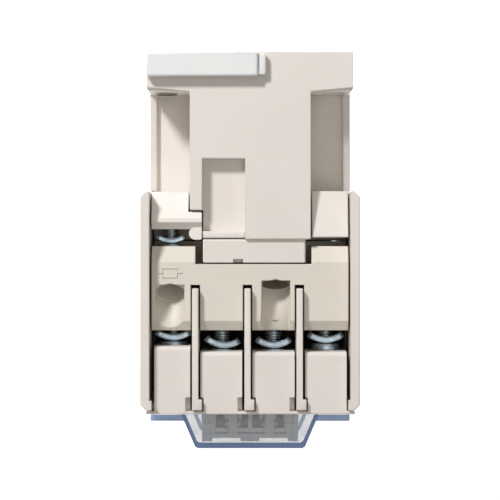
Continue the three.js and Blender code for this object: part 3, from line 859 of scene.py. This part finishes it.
def make_winding():
    """Rows of enamelled wire round the bobbin, one turn per row on the outside."""
    start, end = node_box("coil_winding")
    rows = int((end.y - start.y) / GAUGE)
    turns = [wire(rounded_loop(end.x - GAUGE / 2, end.z - GAUGE / 2, WINDING_CORNER,
                               start.y + GAUGE * (row + 0.5)), GAUGE / 2, 8, loop=True)
             for row in range(rows)]
    core = clean_copy("coil_winding")
    for vert in core.verts:
        if abs(vert.co.x) > TUBE_HALF_X or abs(vert.co.z) > TUBE_HALF_Z:
            vert.co.x *= 1 - GAUGE / 2 / end.x
            vert.co.z *= 1 - GAUGE / 2 / end.z
    add_piece("coil_winding_turns", merged(turns + [core]), ENAMEL, "coil_winding",
              ["coil_winding"], 60)


RIVET_X = (-12.5 * MM, -5.5 * MM, 5.5 * MM, 12.5 * MM)
RIVET_INSET = 2.4 * MM  # from the yoke's outer face
RIVET_SIDES = 18
RIVET_HEAD = ((1.1, -0.3), (1.1, 0.05), (0.9, 0.3), (0.4, 0.42))  # radius and height, in mm


def rivet(x, y, face, side):
    """A rivet head on the face of a stack of sheets."""
    turns = [2 * math.pi * step / RIVET_SIDES for step in range(RIVET_SIDES)]
    return skin([[(x + reach * MM * math.cos(turn), y + reach * MM * math.sin(turn),
                   face + side * height * MM) for turn in turns] for reach, height in RIVET_HEAD])


def make_magnet():
    for node in ("fixed_core", "armature"):
        stack = clean_copy(node)
        soften(stack, 0.2 * MM)
        start, end = node_box(node)
        yoke = start.y + RIVET_INSET if node == "armature" else end.y - RIVET_INSET
        rivets = [rivet(x, yoke, side * end.z, side) for x in RIVET_X for side in (-1, 1)]
        add_piece(node + "_laminated", merged([stack] + rivets), STEEL, node, [node])


# ---- Dust cover and the guides under it ----

EDGE_TURN = 0.9  # how square a face stands to an axis before it counts as an edge face
FRONT_WALL, SIDE_WALL, END_WALL = 1.2 * MM, 0.95 * MM, 1.0 * MM
HOOD_TOP, HOOD_BOTTOM, HOOD_LENGTH = 14.35 * MM, 11.6 * MM, 20.2 * MM
BRIM_HEIGHT = 5.9 * MM
SLIP = 0.02 * MM  # keeps the panes and ribs off the hood's faces
RIB_X, RIB_HALF_X, RIB_REACH = 9.9 * MM, 0.45 * MM, 2.6 * MM


def hat_part(outline, z):
    return skin([[(x, y, level) for x, y in outline] for level in z])


def make_dust_cover():
    start, end = node_box("dust_cover")
    upper = end.y
    brim = start.y + BRIM_HEIGHT
    slope = (HOOD_TOP - HOOD_BOTTOM) / (brim + 0.5 * MM - start.y)
    front = start.y + FRONT_WALL

    def half(y):
        return HOOD_BOTTOM + slope * (y - start.y)

    shell = [(-half(upper), upper), (-HOOD_BOTTOM, start.y), (HOOD_BOTTOM, start.y),
             (half(upper), upper), (half(upper) - SIDE_WALL, upper),
             (half(front) - SIDE_WALL, front), (SIDE_WALL - half(front), front),
             (SIDE_WALL - half(upper), upper)]
    hood = hat_part(shell, (-HOOD_LENGTH, HOOD_LENGTH))
    bmesh.ops.bevel(hood, geom=[edge for edge in hood.edges if edge.calc_length() > 30 * MM],
                    offset=0.25 * MM, segments=2, affect="EDGES")
    parts = [hood]
    inset = SIDE_WALL + SLIP
    pane = [(inset - half(upper), upper), (inset - half(front), front),
            (half(front) - inset, front), (half(upper) - inset, upper)]
    for side in (-1, 1):
        levels = sorted((side * (HOOD_LENGTH - END_WALL), side * (HOOD_LENGTH - SLIP)))
        parts.append(hat_part(pane, levels))
        for x in (-RIB_X, RIB_X):
            rib = sorted((side * (HOOD_LENGTH - RIB_REACH), side * (HOOD_LENGTH - END_WALL - SLIP)))
            parts.append(box_part((x - RIB_HALF_X, x + RIB_HALF_X), (front, upper), rib))
    brim_part = box_part((start.x, end.x), (brim, upper), (start.z, end.z), 0.2 * MM)
    inside = half(brim) - 0.3 * MM
    opening = box_part((-inside, inside), (start.y, MM), (start.z - MM, end.z + MM))
    parts.append(carve(brim_part, [opening]))
    piece = add_piece("dust_cover_shell", merged(parts), CLEAR, "dust_cover", ["dust_cover"])

    def hood_end(centre, normal):
        return abs(normal.z) > EDGE_TURN and abs(centre.z) > HOOD_LENGTH - 0.01 * MM

    def brim_edge(centre, normal):
        far = abs(normal.z) > EDGE_TURN and abs(centre.z) > HOOD_LENGTH + 0.1 * MM
        aside = abs(normal.x) > EDGE_TURN and abs(centre.x) > end.x - 0.5 * MM
        return centre.y > brim and (far or aside)

    repaint(piece, BLUE_EDGE, hood_end)
    repaint(piece, PALE_EDGE, brim_edge)


GUIDE_FOOT = -72.3 * MM
GUIDE_HALF_X = 10.3
GUIDE_Z, GUIDE_FACE = 15.8 * MM, 18.6 * MM
BACK_Z = (-6.2 * MM, -5.2 * MM)
ARM_Y, ARM_Z = (-75.6 * MM, -74.6 * MM), (16.4 * MM, 17.9 * MM)
RAIL_Y, RAIL_Z = (-75.7 * MM, -74.3 * MM), (14 * MM, 15 * MM)
WELL_Y, WELL_DEPTH = (-74.9 * MM, -73.3 * MM), 1.2 * MM
DIVIDER_Y = -74 * MM
LUG_X = (-3.7 * MM, 4 * MM)
CHEEK_X, CHEEK_HALF_Z, CHEEK_FRONT = (1.15 * MM, 1.9 * MM), 2.4 * MM, -76.4 * MM


def guide_part(x, y, z, rounding=0.1):
    """A block of the guides; x and rounding are in millimetres."""
    return box_part((x[0] * MM, x[1] * MM), y, z, rounding * MM)


def end_guides(end, bar, pad):
    """The bar, towers and posts at one end, and the rails behind them."""
    face = end * GUIDE_FACE
    z = sorted((end * GUIDE_Z, face))
    parts = [guide_part((-GUIDE_HALF_X, GUIDE_HALF_X), bar, z)]
    for x in ((-10.2, -8.1), (-2.0, 2.0), (8.1, 10.2)):
        parts.append(guide_part(x, (pad, bar[0]), z, 0.08))
    for x in ((-GUIDE_HALF_X, -7.6), (7.6, GUIDE_HALF_X)):
        tower = guide_part(x, (bar[1], GUIDE_FOOT), z, 0.12)
        well_z = sorted((face - end * WELL_DEPTH, face + end * MM))
        parts.append(carve(tower, [guide_part((x[0] + 0.5, x[1] - 0.9), WELL_Y, well_z, 0)]))
    for x in (-3.7, 4.2):
        parts.append(guide_part((x - 1, x + 1), (bar[1], GUIDE_FOOT - 0.4 * MM), z))
        arm_z = sorted(end * level for level in ARM_Z)
        parts.append(guide_part((x - 1.7, x + 1.7), ARM_Y, arm_z))
    parts.append(guide_part((-0.3, 0.3), (DIVIDER_Y, GUIDE_FOOT), z, 0.08))
    rail_z = sorted(end * level for level in RAIL_Z)
    rails = [guide_part(x, RAIL_Y, rail_z) for x in ((-7.4, -0.7), (0.7, 7.4))]
    rails.append(guide_part((-0.7, 0.7), (bar[1], DIVIDER_Y), rail_z))
    return parts, rails


def make_guides():
    """Coupling guides for an auxiliary block, seen through the clear cover."""
    cover = node_box("dust_cover")[0].y + FRONT_WALL
    bar = (cover + 0.8 * MM, cover + 1.8 * MM)
    # The plate behind the guides is dark as painted shade for the inside of the cover.
    back = guide_part((-GUIDE_HALF_X, GUIDE_HALF_X), (bar[0], GUIDE_FOOT), BACK_Z)
    add_piece("guide_back", back, SLATE_PAINTED_SHADE, "front_cover")
    parts, rails = [], []
    for end in (-1, 1):
        end_parts, end_rails = end_guides(end, bar, cover + 0.1 * MM)
        parts += end_parts
        rails += end_rails
    add_piece("guide_rails", merged(rails), GREY, "front_cover")
    for x in LUG_X:
        for side in (-1, 1):
            across = sorted(x + side * reach for reach in CHEEK_X)
            parts.append(box_part(across, (CHEEK_FRONT, GUIDE_FOOT),
                                  (-CHEEK_HALF_Z, CHEEK_HALF_Z), 0.1 * MM))
    add_piece("auxiliary_guides", merged(parts), PALE_GREY, "front_cover")


# ---- Small CAD nodes that keep their shape ----

PLAIN = {
    "armature_pin": ZINC, "core_buffer": RUBBER,
    "shading_ring_left": COPPER, "shading_ring_right": COPPER,
}


def paint_plain_nodes():
    for node, material in PLAIN.items():
        slots = frame["nodes"][node].data.materials
        slots.clear()
        slots.append(material)


make_shells()
make_coil_mark()
make_fasteners()
make_springs()
make_contacts()
make_winding()
make_magnet()
make_dust_cover()
make_guides()
paint_plain_nodes()
